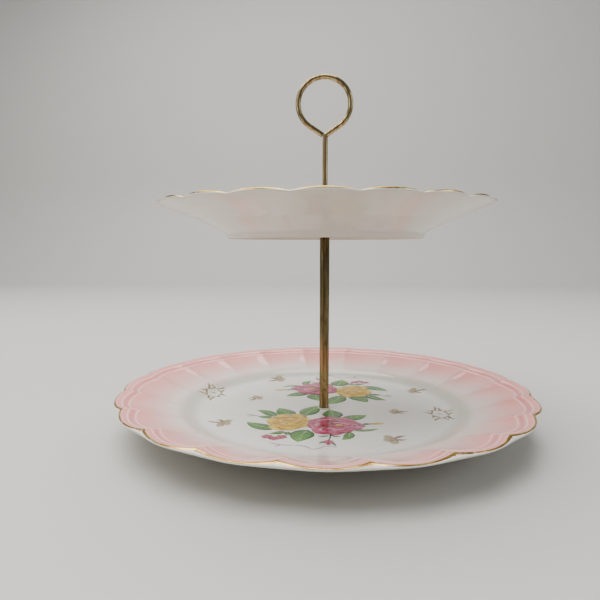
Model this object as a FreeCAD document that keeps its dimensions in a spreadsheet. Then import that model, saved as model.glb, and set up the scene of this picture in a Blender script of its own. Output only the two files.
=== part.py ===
"""Two-tier cake stand: two drilled, scalloped plates on a brass tube, with a ring handle on top.

Millimetres, +Z up. The origin is on the table, at the centre of the lower plate's foot ring.
The ring handle lies in the XZ plane and the front of the stand faces -Y.
"""
import FreeCAD, Part
import math
import os
import sys

import Sketcher

# ------------------------------------------------------------------ driving dimensions
SIZES = [
    # lower plate
    ("lower_radius", 127.0, "axis to the tip of a scallop"),
    ("lower_notch_depth", 3.6, "how far the notch between two scallops cuts in"),
    ("lower_shoulder_radius", 89.5, "crease between the curved wall of the well and the fluted rim"),
    ("lower_well_radius", 78.5, "flat of the well"),
    ("lower_shoulder_rise", 4.4, "well floor up to the crease"),
    ("lower_rim_rise", 16.0, "well floor up to the edge"),
    ("lower_base", 4.2, "thickness of the base"),
    ("lower_wall", 3.3, "thickness of the wall outside the foot ring"),
    ("lower_edge", 3.1, "height of the edge"),
    ("lower_foot_radius", 73.7, "middle of the foot ring"),
    ("lower_foot_depth", 4.0, "table up to the underside of the base"),
    ("lower_kink_radius", 97.0, "change of slope on the underside"),
    # upper plate
    ("upper_radius", 100.0, "axis to the tip of a scallop"),
    ("upper_notch_depth", 2.9, "how far the notch between two scallops cuts in"),
    ("upper_shoulder_radius", 70.0, "crease between the curved wall of the well and the fluted rim"),
    ("upper_well_radius", 60.5, "flat of the well"),
    ("upper_shoulder_rise", 5.6, "well floor up to the crease"),
    ("upper_rim_rise", 15.6, "well floor up to the edge"),
    ("upper_base", 3.8, "thickness of the base"),
    ("upper_wall", 3.0, "thickness of the wall outside the foot ring"),
    ("upper_edge", 2.6, "height of the edge"),
    ("upper_foot_radius", 57.9, "middle of the foot ring"),
    ("upper_foot_depth", 2.6, "height of the foot ring"),
    ("upper_kink_radius", 76.0, "change of slope on the underside"),
    # both plates
    ("scallops", 20, "scallops round each plate"),
    ("foot_width", 3.6, "width of a foot ring where it stands"),
    ("foot_flare", 1.2, "how much wider each side of a foot ring is at its root"),
    ("drill_radius", 3.5, "hole drilled through each plate"),
    # column
    ("tube_length", 108.0, "centre tube"),
    ("tube_radius", 3.0, "outside of the centre tube"),
    ("tube_wall", 0.6, "wall of the centre tube"),
    ("insert_length", 8.0, "threaded plug in each end of the tube"),
    ("insert_play", 0.02, "gap round a plug in the tube"),
    ("foot_washer_radius", 3.9, "clear washer under the tube"),
    ("foot_washer_thick", 0.5, "clear washer under the tube"),
    ("top_washer_radius", 4.9, "metal washer on top of the tube"),
    ("top_washer_thick", 1.1, "metal washer on top of the tube"),
    ("top_washer_shift", 1.2, "how far that washer has slipped towards -X"),
    ("under_pad_radius", 4.0, "soft washer below the upper plate"),
    ("under_pad_thick", 0.6, "soft washer below the upper plate"),
    # fixing from below
    ("base_pad_radius", 7.5, "soft washer below the lower plate"),
    ("base_pad_thick", 0.8, "soft washer below the lower plate"),
    ("base_washer_radius", 6.5, "metal washer below the lower plate"),
    ("base_washer_thick", 0.8, "metal washer below the lower plate"),
    ("screw_head_radius", 3.8, "head of the base screw"),
    ("screw_head_thick", 1.5, "head of the base screw"),
    ("screw_slot_width", 1.0, "driver slot"),
    ("screw_slot_depth", 0.7, "driver slot"),
    ("screw_grip", 6.0, "thread of the base screw inside its plug"),
    # handle
    ("wire_radius", 1.6, "handle wire and the thread cut on it"),
    ("thread_pitch", 0.59, "rise of the handle in one turn"),
    ("thread_turns", 11, "turns of handle thread inside the upper plug"),
    ("thread_play", 0.05, "gap between a thread and its plug, each side"),
    ("wire_play", 0.3, "gap between the wire and a loose washer, each side"),
    ("pad_play", 0.5, "gap between the wire and a soft washer, each side"),
    ("handle_pad_radius", 7.0, "soft washer above the upper plate"),
    ("handle_pad_thick", 0.8, "soft washer above the upper plate"),
    ("handle_washer_radius", 6.0, "brass washer above the upper plate"),
    ("handle_washer_thick", 1.0, "brass washer above the upper plate"),
    ("collar_radius", 3.4, "collar on the handle wire"),
    ("collar_height", 4.0, "collar on the handle wire"),
    ("collar_play", 0.02, "gap round the wire inside its collar"),
    ("ring_height", 73.1, "underside of the collar up to the centre of the ring"),
    ("ring_radius", 15.9, "centre of the ring to the middle of its wire"),
    ("ring_shift", 0.6, "how far the ring's centre lies towards -X"),
    ("neck_radius", 3.0, "bend from the stem into the ring"),
    ("right_leg_angle", 34.0, "slope of the wire as it leaves the stem, degrees"),
    ("left_leg_angle", 34.0, "slope of the wire as it comes back to the stem, degrees"),
    ("tuck_gap", 0.2, "gap between the cut end of the wire and the neck"),
    ("end_chamfer", 0.4, "chamfer on a thread's end"),
    # construction
    ("turned_margin", 0.5, "how much wider a plate is turned than its scallops are cut"),
    ("cutter_margin", 12.0, "how far a cutter reaches past the edge that it cuts"),
]

doc = FreeCAD.newDocument("cake_stand")
sheet = doc.addObject("Spreadsheet::Sheet", "sizes")
for row, (alias, value, meaning) in enumerate(SIZES, start=1):
    sheet.set(f"A{row}", meaning)
    sheet.set(f"B{row}", str(value))
    sheet.setAlias(f"B{row}", alias)
doc.recompute()


def size(alias):
    """The number in a named cell."""
    return float(sheet.get(alias))


# ------------------------------------------------------------------ heights of the stack
# Each height is an expression on the cells, so the pieces stay seated when a thickness changes.
# The ring's centre alone is measured up from the foot of its own wire.
LOWER_WELL = "(sizes.lower_foot_depth + sizes.lower_base)"
TUBE_FOOT = f"({LOWER_WELL} + sizes.foot_washer_thick)"
TUBE_TOP = f"({TUBE_FOOT} + sizes.tube_length)"
UNDER_PAD = f"({TUBE_TOP} + sizes.top_washer_thick)"
UPPER_BASE = f"({UNDER_PAD} + sizes.under_pad_thick)"
UPPER_WELL = f"({UPPER_BASE} + sizes.upper_base)"
HANDLE_WASHER = f"({UPPER_WELL} + sizes.handle_pad_thick)"
COLLAR_SEAT = f"({HANDLE_WASHER} + sizes.handle_washer_thick)"
BASE_WASHER = "(sizes.lower_foot_depth - sizes.base_pad_thick - sizes.base_washer_thick)"
SCREW_FOOT = f"({BASE_WASHER} - sizes.screw_head_thick)"
THREAD_LENGTH = "(sizes.thread_pitch * sizes.thread_turns)"
WIRE_FOOT = f"({TUBE_TOP} - {THREAD_LENGTH})"
RING_CENTRE = f"({COLLAR_SEAT} - {WIRE_FOOT} + sizes.ring_height)"
THREAD_BORE = "(sizes.wire_radius + sizes.thread_play)"
# The ring's wire: where each leg leaves the ring, how far that is above the neck's lower end on the
# left, and how long the left leg can be before its cut end meets the outside of the neck.
RIGHT_LEG_ACROSS = "(sizes.ring_radius * sin(sizes.right_leg_angle) - sizes.ring_shift)"
LEFT_LEG_ACROSS = "(0 - sizes.ring_radius * sin(sizes.left_leg_angle) - sizes.ring_shift)"
LEFT_LEG_UP = (
    "(sizes.ring_radius * (cos(sizes.right_leg_angle) - cos(sizes.left_leg_angle))"
    f" + {RIGHT_LEG_ACROSS} * tan(sizes.right_leg_angle)"
    " + sizes.neck_radius * tan(45 - sizes.right_leg_angle / 2))"
)
LEFT_LEG_LENGTH = (
    f"((sizes.neck_radius - {LEFT_LEG_ACROSS}) * cos(sizes.left_leg_angle)"
    f" + {LEFT_LEG_UP} * sin(sizes.left_leg_angle)"
    " - sizes.neck_radius - sizes.wire_radius - sizes.tuck_gap)"
)
WIRE_END_ACROSS = f"({LEFT_LEG_ACROSS} + {LEFT_LEG_LENGTH} * cos(sizes.left_leg_angle))"

sub_parts = []


# ------------------------------------------------------------------ building blocks
def origin_plane(body, role):
    """One of a body's own origin planes, by its role."""
    return next(f for f in body.Origin.OriginFeatures if f.Role == role)


def new_body(label, height="0", shift="0"):
    """A body in its own frame, raised to a height and shifted along X."""
    body = doc.addObject("PartDesign::Body", label)
    body.Label = label
    body.setExpression(".Placement.Base.x", f"({shift}) * 1 mm")
    body.setExpression(".Placement.Base.z", f"({height}) * 1 mm")
    sub_parts.append(body)
    return body


def new_sketch(body, name, role):
    """A sketch on one of the body's own origin planes."""
    sketch = body.newObject("Sketcher::SketchObject", name)
    sketch.AttachmentSupport = (origin_plane(body, role), [""])
    sketch.MapMode = "FlatFace"
    return sketch


def evaluate(expression):
    """An expression on the cells, as a number."""
    return float(sheet.evalExpression(expression))


def pin_point(sketch, edge, end, across, up):
    """Ties one end of an edge to two expressions measured from the sketch's origin."""
    for kind, expression in (("DistanceX", across), ("DistanceY", up)):
        value = evaluate(expression)
        index = sketch.addConstraint(Sketcher.Constraint(kind, -1, 1, edge, end, value))
        sketch.setExpression(f"Constraints[{index}]", f"({expression}) * 1 mm")


def outline(sketch, corners):
    """A closed outline of straight edges through corners given as pairs of expressions."""
    points = [FreeCAD.Vector(evaluate(a), evaluate(b), 0) for a, b in corners]
    count = len(points)
    for n in range(count):
        sketch.addGeometry(Part.LineSegment(points[n], points[(n + 1) % count]), False)
    for n in range(count):
        sketch.addConstraint(Sketcher.Constraint("Coincident", n, 2, (n + 1) % count, 1))
    for n, (across, up) in enumerate(corners):
        pin_point(sketch, n, 1, across, up)


def turned(label, corners, height="0", shift="0"):
    """A turned piece: an outline of (radius, height) corners spun about its own Z axis."""
    body = new_body(label, height, shift)
    profile = new_sketch(body, f"{label}_profile", "XZ_Plane")
    outline(profile, corners)
    spin = body.newObject("PartDesign::Revolution", f"{label}_spin")
    spin.Profile = profile
    spin.ReferenceAxis = (profile, ["V_Axis"])
    spin.Angle = 360
    profile.Visibility = False
    doc.recompute()
    return body


def washer(label, bore, radius, thick, height, shift="0"):
    """A flat washer with its underside at a height."""
    corners = [(bore, "0"), (radius, "0"), (radius, thick), (bore, thick)]
    return turned(label, corners, height, shift)


# ------------------------------------------------------------------ plates
def notch_cutter(body, plate):
    """Cuts the edge back to its scallops: one notch, repeated round the plate.

    A scallop is an arc whose centre lies on its own radius and which runs through the notches on
    either side of it. The cutter is what lies outside two halves of neighbouring scallops.
    """
    tip = f"sizes.{plate}_radius"
    notch = f"(sizes.{plate}_radius - sizes.{plate}_notch_depth)"
    half = "(180 / sizes.scallops)"
    beyond = f"({tip} + sizes.cutter_margin)"
    sketch = new_sketch(body, f"{plate}_notch", "XY_Plane")

    def polar(radius, steps):
        return f"{radius} * cos({steps} * {half})", f"{radius} * sin({steps} * {half})"

    corner = {
        "tip": polar(tip, 0),
        "notch": polar(notch, 1),
        "next_tip": polar(tip, 2),
        "far": polar(beyond, 2),
        "near": polar(beyond, 0),
    }
    point = {
        name: FreeCAD.Vector(evaluate(across), evaluate(up), 0)
        for name, (across, up) in corner.items()
    }
    tip_radius = evaluate(tip)
    notch_radius = evaluate(notch)
    half_angle = math.radians(evaluate(half))
    spread = tip_radius - notch_radius * math.cos(half_angle)
    centre_radius = (tip_radius**2 - notch_radius**2) / (2 * spread)
    arc_radius = tip_radius - centre_radius

    def arc_middle(step, side):
        """A point on the scallop's arc, halfway between its tip and the notch."""
        centre_angle = 2 * step * half_angle
        to_notch = math.asin(notch_radius * math.sin(half_angle) / arc_radius) / 2
        centre = FreeCAD.Vector(math.cos(centre_angle), math.sin(centre_angle), 0) * centre_radius
        turn = centre_angle + side * to_notch
        return centre + FreeCAD.Vector(math.cos(turn), math.sin(turn), 0) * arc_radius

    first = Part.Arc(point["tip"], arc_middle(0, 1), point["notch"])
    second = Part.Arc(point["notch"], arc_middle(1, -1), point["next_tip"])
    sketch.addGeometry(first, False)
    sketch.addGeometry(second, False)
    sketch.addGeometry(Part.LineSegment(point["next_tip"], point["far"]), False)
    sketch.addGeometry(Part.LineSegment(point["far"], point["near"]), False)
    sketch.addGeometry(Part.LineSegment(point["near"], point["tip"]), False)
    for n in range(5):
        sketch.addConstraint(Sketcher.Constraint("Coincident", n, 2, (n + 1) % 5, 1))
    for n, name in enumerate(["tip", "notch", "next_tip", "far", "near"]):
        pin_point(sketch, n, 1, *corner[name])
    for n in range(2):
        index = sketch.addConstraint(Sketcher.Constraint("Radius", n, arc_radius))
        centre = f"({tip}^2 - {notch}^2) / (2 * ({tip} - {notch} * cos({half})))"
        sketch.setExpression(f"Constraints[{index}]", f"({tip} - {centre}) * 1 mm")

    blank = body.Tip.Shape.Volume
    cut = body.newObject("PartDesign::Pocket", f"{plate}_notch_cut")
    cut.Profile = sketch
    cut.Type = "ThroughAll"
    cut.Midplane = True
    doc.recompute()
    if not cut.Shape.Volume < blank:
        sys.exit(f"{plate}: the notch cuts nothing")
    rounds = body.newObject("PartDesign::PolarPattern", f"{plate}_notches")
    rounds.Originals = [cut]
    rounds.Axis = (sketch, ["N_Axis"])
    rounds.Angle = 360
    rounds.setExpression("Occurrences", "sizes.scallops")
    body.Tip = rounds
    sketch.Visibility = False
    doc.recompute()
    if not rounds.Shape.Volume < cut.Shape.Volume:
        sys.exit(f"{plate}: the notches are not repeated")


def plate(name, height):
    """A drilled plate: well, curved wall, sloping rim and foot ring, with the well floor at z = base."""
    def cell(word):
        return f"sizes.{name}_{word}"

    blank = f"({cell('radius')} + sizes.turned_margin)"
    floor = cell("base")
    shoulder = f"({floor} + {cell('shoulder_rise')})"
    edge = f"({floor} + {cell('rim_rise')})"
    rim_slope = f"(({edge} - {shoulder}) / ({cell('radius')} - {cell('shoulder_radius')}))"
    over_kink = f"({shoulder} + {rim_slope} * ({cell('kink_radius')} - {cell('shoulder_radius')}))"
    foot_in = f"({cell('foot_radius')} - sizes.foot_width / 2)"
    foot_out = f"({cell('foot_radius')} + sizes.foot_width / 2)"
    foot_low = f"(0 - {cell('foot_depth')})"
    corners = [
        ("sizes.drill_radius", "0"),
        (f"({foot_in} - sizes.foot_flare)", "0"),
        (foot_in, foot_low),
        (foot_out, foot_low),
        (f"({foot_out} + sizes.foot_flare)", f"({floor} - {cell('wall')})"),
        (cell("kink_radius"), f"({over_kink} - {cell('wall')})"),
        (blank, f"({edge} - {cell('edge')})"),
        (blank, edge),
        (cell("shoulder_radius"), shoulder),
        (cell("well_radius"), floor),
        ("sizes.drill_radius", floor),
    ]
    body = turned(f"{name}_plate", corners, height)
    notch_cutter(body, name)
    return body


plate("lower", "sizes.lower_foot_depth")
plate("upper", UPPER_BASE)


# ------------------------------------------------------------------ column between the plates
tube_bore = "(sizes.tube_radius - sizes.tube_wall)"
turned(
    "centre_tube",
    [
        (tube_bore, "0"),
        ("sizes.tube_radius", "0"),
        ("sizes.tube_radius", "sizes.tube_length"),
        (tube_bore, "sizes.tube_length"),
    ],
    TUBE_FOOT,
)
insert_radius = f"({tube_bore} - sizes.insert_play)"
washer("tube_top_insert", THREAD_BORE, insert_radius, "sizes.insert_length",
       f"({TUBE_TOP} - sizes.insert_length)")
washer("tube_bottom_insert", THREAD_BORE, insert_radius, "sizes.insert_length", TUBE_FOOT)
washer("tube_foot_washer", "(sizes.wire_radius + sizes.pad_play)", "sizes.foot_washer_radius",
       "sizes.foot_washer_thick", LOWER_WELL)
washer("tube_top_washer", "(sizes.wire_radius + sizes.top_washer_shift + sizes.wire_play)",
       "sizes.top_washer_radius", "sizes.top_washer_thick", TUBE_TOP,
       "(0 - sizes.top_washer_shift)")
washer("under_pad", "(sizes.wire_radius + sizes.pad_play)", "sizes.under_pad_radius",
       "sizes.under_pad_thick", UNDER_PAD)


# ------------------------------------------------------------------ fixing below the lower plate
washer("base_pad", "(sizes.wire_radius + sizes.pad_play)", "sizes.base_pad_radius",
       "sizes.base_pad_thick", "(sizes.lower_foot_depth - sizes.base_pad_thick)")
washer("base_washer", "(sizes.wire_radius + sizes.wire_play)", "sizes.base_washer_radius",
       "sizes.base_washer_thick", BASE_WASHER)

screw_top = f"({TUBE_FOOT} + sizes.screw_grip - {SCREW_FOOT})"
screw = turned(
    "base_screw",
    [
        ("0", "0"),
        ("sizes.screw_head_radius", "0"),
        ("sizes.screw_head_radius", "sizes.screw_head_thick"),
        ("sizes.wire_radius", "sizes.screw_head_thick"),
        ("sizes.wire_radius", f"({screw_top} - sizes.end_chamfer)"),
        ("(sizes.wire_radius - sizes.end_chamfer)", screw_top),
        ("0", screw_top),
    ],
    SCREW_FOOT,
)
slot = new_sketch(screw, "screw_slot", "XY_Plane")
slot_end = "(sizes.screw_head_radius + sizes.cutter_margin)"
slot_side = "(sizes.screw_slot_width / 2)"
outline(slot, [
    (f"0 - {slot_end}", f"0 - {slot_side}"),
    (slot_end, f"0 - {slot_side}"),
    (slot_end, slot_side),
    (f"0 - {slot_end}", slot_side),
])
uncut = screw.Tip.Shape.Volume
slot_cut = screw.newObject("PartDesign::Pocket", "screw_slot_cut")
slot_cut.Profile = slot
slot_cut.Type = "Length"
slot_cut.setExpression("Length", "sizes.screw_slot_depth * 1 mm")
slot_cut.Reversed = True
slot.Visibility = False
doc.recompute()
if not slot_cut.Shape.Volume < uncut:
    sys.exit("base_screw: the slot cuts nothing")


# ------------------------------------------------------------------ handle
washer("handle_pad", "(sizes.wire_radius + sizes.pad_play)", "sizes.handle_pad_radius",
       "sizes.handle_pad_thick", UPPER_WELL)
washer("handle_washer", "(sizes.wire_radius + sizes.wire_play)", "sizes.handle_washer_radius",
       "sizes.handle_washer_thick", HANDLE_WASHER)
washer("handle_collar", "(sizes.wire_radius + sizes.collar_play)", "sizes.collar_radius",
       "sizes.collar_height", COLLAR_SEAT)


def ring_handle():
    """One bent wire: stem, neck bent to the right, ring, and a straight leg back to the neck's left."""
    body = new_body("ring_handle", WIRE_FOOT)
    centre_up = evaluate(RING_CENTRE)
    centre = FreeCAD.Vector(-size("ring_shift"), centre_up, 0)
    radius = size("ring_radius")
    right = math.radians(size("right_leg_angle"))
    left = math.radians(size("left_leg_angle"))
    start_turn = right - math.pi / 2
    end_turn = 1.5 * math.pi - left

    def on_ring(turn):
        return centre + FreeCAD.Vector(math.cos(turn), math.sin(turn), 0) * radius

    ring_start = on_ring(start_turn)
    ring_end = on_ring(end_turn)
    bend = size("neck_radius")
    corner_up = ring_start.y - ring_start.x * math.tan(right)
    reach = bend * math.tan((math.pi / 2 - right) / 2)
    bend_start = FreeCAD.Vector(0, corner_up - reach, 0)
    bend_end = FreeCAD.Vector(reach * math.cos(right), corner_up + reach * math.sin(right), 0)
    bend_centre = FreeCAD.Vector(bend, bend_start.y, 0)
    mid_turn = math.pi - (math.pi / 2 - right) / 2
    bend_middle = bend_centre + FreeCAD.Vector(math.cos(mid_turn), math.sin(mid_turn), 0) * bend
    end_across = evaluate(WIRE_END_ACROSS)
    end_up = ring_end.y - (end_across - ring_end.x) * math.tan(left)
    wire_end = FreeCAD.Vector(end_across, end_up, 0)

    path = new_sketch(body, "handle_path", "XZ_Plane")
    path.addGeometry(Part.LineSegment(FreeCAD.Vector(0, 0, 0), bend_start), False)
    path.addGeometry(Part.Arc(bend_start, bend_middle, bend_end), False)
    path.addGeometry(Part.LineSegment(bend_end, ring_start), False)
    path.addGeometry(Part.Arc(ring_start, on_ring(math.pi / 2), ring_end), False)
    path.addGeometry(Part.LineSegment(ring_end, wire_end), False)
    path.addConstraint(Sketcher.Constraint("Coincident", 0, 1, -1, 1))
    path.addConstraint(Sketcher.Constraint("Vertical", 0))
    # an arc's own start is its anticlockwise start, so the neck's upper end is its start
    path.addConstraint(Sketcher.Constraint("Tangent", 0, 2, 1, 2))
    path.addConstraint(Sketcher.Constraint("Tangent", 1, 1, 2, 1))
    path.addConstraint(Sketcher.Constraint("Tangent", 2, 2, 3, 1))
    path.addConstraint(Sketcher.Constraint("Tangent", 3, 2, 4, 1))
    pin_point(path, 3, 3, "0 - sizes.ring_shift", RING_CENTRE)
    for edge, word in ((1, "neck_radius"), (3, "ring_radius")):
        index = path.addConstraint(Sketcher.Constraint("Radius", edge, size(word)))
        path.setExpression(f"Constraints[{index}]", f"sizes.{word} * 1 mm")
    index = path.addConstraint(Sketcher.Constraint("Angle", 2, right))
    path.setExpression(f"Constraints[{index}]", "sizes.right_leg_angle * 1 deg")
    index = path.addConstraint(Sketcher.Constraint("Angle", 4, -left))
    path.setExpression(f"Constraints[{index}]", "(0 - sizes.left_leg_angle) * 1 deg")
    index = path.addConstraint(Sketcher.Constraint("DistanceX", -1, 1, 4, 2, end_across))
    path.setExpression(f"Constraints[{index}]", f"{WIRE_END_ACROSS} * 1 mm")

    section = new_sketch(body, "handle_section", "XY_Plane")
    circle = Part.Circle(FreeCAD.Vector(0, 0, 0), FreeCAD.Vector(0, 0, 1), size("wire_radius"))
    section.addGeometry(circle, False)
    section.addConstraint(Sketcher.Constraint("Coincident", 0, 3, -1, 1))
    index = section.addConstraint(Sketcher.Constraint("Radius", 0, size("wire_radius")))
    section.setExpression(f"Constraints[{index}]", "sizes.wire_radius * 1 mm")

    wire = body.newObject("PartDesign::AdditivePipe", "handle_wire")
    wire.Profile = section
    wire.Spine = path
    path.Visibility = False
    section.Visibility = False
    doc.recompute()

    foot_edge = min(range(len(wire.Shape.Edges)), key=lambda n: wire.Shape.Edges[n].BoundBox.ZMax)
    bevel = body.newObject("PartDesign::Chamfer", "handle_thread_end")
    bevel.Base = (wire, [f"Edge{foot_edge + 1}"])
    bevel.setExpression("Size", "sizes.end_chamfer * 1 mm")
    doc.recompute()
    return body


ring_handle()

# ------------------------------------------------------------------ check and write
doc.recompute()
for item in doc.Objects:
    if {"Invalid", "Error"} & set(item.State):
        sys.exit(f"{item.Label}: {item.State}")
for body in sub_parts:
    if body.Shape.isNull() or not body.Shape.isValid() or len(body.Shape.Solids) != 1:
        sys.exit(f"{body.Label}: not one valid solid")

os.makedirs("parts", exist_ok=True)
for body in sub_parts:
    body.Shape.exportStep(f"parts/{body.Label}.step")
    box = body.Shape.BoundBox
    print(f"{body.Label:20s} z {box.ZMin:8.2f} to {box.ZMax:8.2f}  volume {body.Shape.Volume:10.1f}")
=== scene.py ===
import bmesh
import bpy
import math
import random
import numpy as np
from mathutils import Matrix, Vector


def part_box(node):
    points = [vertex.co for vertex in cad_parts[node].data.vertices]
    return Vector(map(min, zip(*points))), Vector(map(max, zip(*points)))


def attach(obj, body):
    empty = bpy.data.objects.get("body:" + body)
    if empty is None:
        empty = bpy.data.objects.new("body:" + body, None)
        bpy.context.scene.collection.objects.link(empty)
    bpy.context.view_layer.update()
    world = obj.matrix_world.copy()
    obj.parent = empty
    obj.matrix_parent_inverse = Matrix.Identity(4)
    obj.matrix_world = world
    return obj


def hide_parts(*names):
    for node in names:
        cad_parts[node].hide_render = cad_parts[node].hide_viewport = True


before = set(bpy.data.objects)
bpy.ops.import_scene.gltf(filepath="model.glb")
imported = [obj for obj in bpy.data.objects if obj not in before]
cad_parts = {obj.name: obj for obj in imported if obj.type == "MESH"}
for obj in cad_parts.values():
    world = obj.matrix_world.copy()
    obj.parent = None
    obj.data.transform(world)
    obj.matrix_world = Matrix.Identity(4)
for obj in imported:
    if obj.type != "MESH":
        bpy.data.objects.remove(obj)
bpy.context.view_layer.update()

# ---------------------------------------------------------------------------- china plates
# Two pressed china plates, one of 10 inches and one of 8. Each has a flat well with a curved wall
# and a fluted rim of twenty scallops, with two fine raised ribs just inside the edge. They are
# glazed all over but for the foot ring, sprayed pink at the rim, and gilded on the edge.
MM = 0.001
SCALLOPS = 20
STEPS_PER_SCALLOP = 24
HALF_SCALLOP = math.pi / SCALLOPS


def smooth(low, high, value):
    """0 below low, 1 above high, and a smooth rise between them."""
    t = np.clip((value - low) / (high - low), 0, 1)
    return t * t * (3 - 2 * t)


class PlateForm:
    """The shape of one plate, in millimetres, round the column's axis.

    well, shoulder, kink and foot are radii: where the flat well ends, where the rim begins, where
    the underside bends up, and the middle of the foot ring. floor is the well's height.
    """

    def __init__(self, node, floor, well, shoulder, wall_rise, notch, base, kink, foot, lip, ribs,
                 lobe_dip, notch_dip, gilt_down):
        low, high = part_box(node)
        self.radius = high.x / MM
        self.rim = high.z / MM
        self.foot_z = low.z / MM
        self.floor = floor
        self.well = well
        self.shoulder = shoulder
        self.notch = notch
        self.base = base
        self.kink = kink
        self.foot = foot
        self.lip = lip
        self.ribs = ribs
        self.flute = 1.1      # depth of a flute
        self.lobe_dip = lobe_dip
        self.notch_dip = notch_dip
        self.gilt_down = gilt_down
        self.bulge = 1.1      # how far the rounded lip stands out
        self.wall = 3.3
        self.hole = 3.5       # radius of the drilled hole
        # the wall of the well steepens towards the shoulder, where the straighter rim begins
        r = np.linspace(0, self.radius, 1200)
        curve_start = well - 5.0
        steepest = 2 * wall_rise / (shoulder - curve_start)
        wall_slope = steepest * np.clip((r - curve_start) / (shoulder - curve_start), 0, 1)
        rim_slope = (self.rim - floor - wall_rise) / (self.radius - shoulder)
        softness = 0.7
        past = 1 / (1 + np.exp(-(r - shoulder) / softness))
        slope = wall_slope * (1 - past) + rim_slope * past
        height = np.concatenate([[0], np.cumsum((slope[1:] + slope[:-1]) / 2 * np.diff(r))])
        self.curve = (r, floor + height * (self.rim - floor) / height[-1])

    def top(self, r):
        """Height of the upper surface, before flutes and ribs."""
        return np.interp(r, *self.curve)

    def under(self, r):
        """Height of the underside outside the foot ring."""
        edge = self.rim - self.lip
        kink_z = self.top(self.kink) - self.wall
        root = self.foot + 3.0
        inner = self.floor - 3.2
        return np.interp(r, [root, self.kink, self.radius - self.bulge], [inner, kink_z, edge])

    def profile(self):
        """Half of the plate's section, from the hole's upper edge out to the lip and back underneath."""
        r_edge = self.radius - self.bulge
        ease = 0.3
        points = [(self.hole, self.floor - ease), (self.hole + ease, self.floor)]
        points += [(r, self.floor) for r in (6.0, 12.0, 24.0, 38.0, 52.0, self.well - 8.0)]
        points += [(r, self.top(r)) for r in np.linspace(self.well - 5.5, self.shoulder + 2.0, 20)]
        points += [(r, self.top(r)) for r in np.linspace(self.shoulder + 3.2, r_edge - 11.0, 14)]
        points += [(r, self.top(r)) for r in np.linspace(r_edge - 10.6, r_edge, 31)]
        lip_steps = 10
        for n in range(1, lip_steps):
            turn = math.pi * n / lip_steps
            share = (1 - math.cos(turn)) / 2
            z = self.top(r_edge) * (1 - share) + self.under(r_edge) * share
            points.append((r_edge + self.bulge * math.sin(turn), z))
        points += [(r, self.under(r)) for r in np.linspace(r_edge, self.kink + 1.0, 14)]
        points += [(r, self.under(r)) for r in np.linspace(self.kink, self.foot + 4.4, 9)]
        # the foot ring, from its outer root round its rounded tread to its inner root
        half = 1.8
        low = self.foot_z
        step = self.under(self.foot + 3.0) - low
        outside, inside = self.foot + half, self.foot - half
        points += [(outside + 1.1, low + step), (outside + 0.6, low + step * 0.55),
                   (outside + 0.2, low + 0.6), (outside - 0.3, low + 0.12), (outside - 0.9, low),
                   (inside + 0.9, low), (inside + 0.3, low + 0.12), (inside - 0.2, low + 0.6)]
        under_well = self.floor - self.base
        points += [(inside - 0.7, under_well - 0.35), (inside - 1.8, under_well)]
        points += [(r, under_well) for r in (self.foot - 8.0, self.foot * 0.6, self.foot * 0.25)]
        points += [(self.hole + ease, under_well), (self.hole, under_well + ease)]
        return points

    def notch_in(self, inset, across):
        """How far the scalloped outline lies inside the circle, at a distance inside the edge."""
        notch_radius = self.radius - self.notch
        spread = 2 * (self.radius - notch_radius * math.cos(HALF_SCALLOP))
        centre = (self.radius**2 - notch_radius**2) / spread
        arc = self.radius - centre
        fade_start, fade_end = 9.0, self.radius - self.shoulder - 4.0
        depth = np.minimum(inset, fade_start + 2.0)
        turn = across * HALF_SCALLOP
        outline = centre * np.cos(turn) + np.sqrt((arc - depth) ** 2 - (centre * np.sin(turn)) ** 2)
        return (self.radius - depth - outline) * (1 - smooth(fade_start, fade_end, inset))


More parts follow.
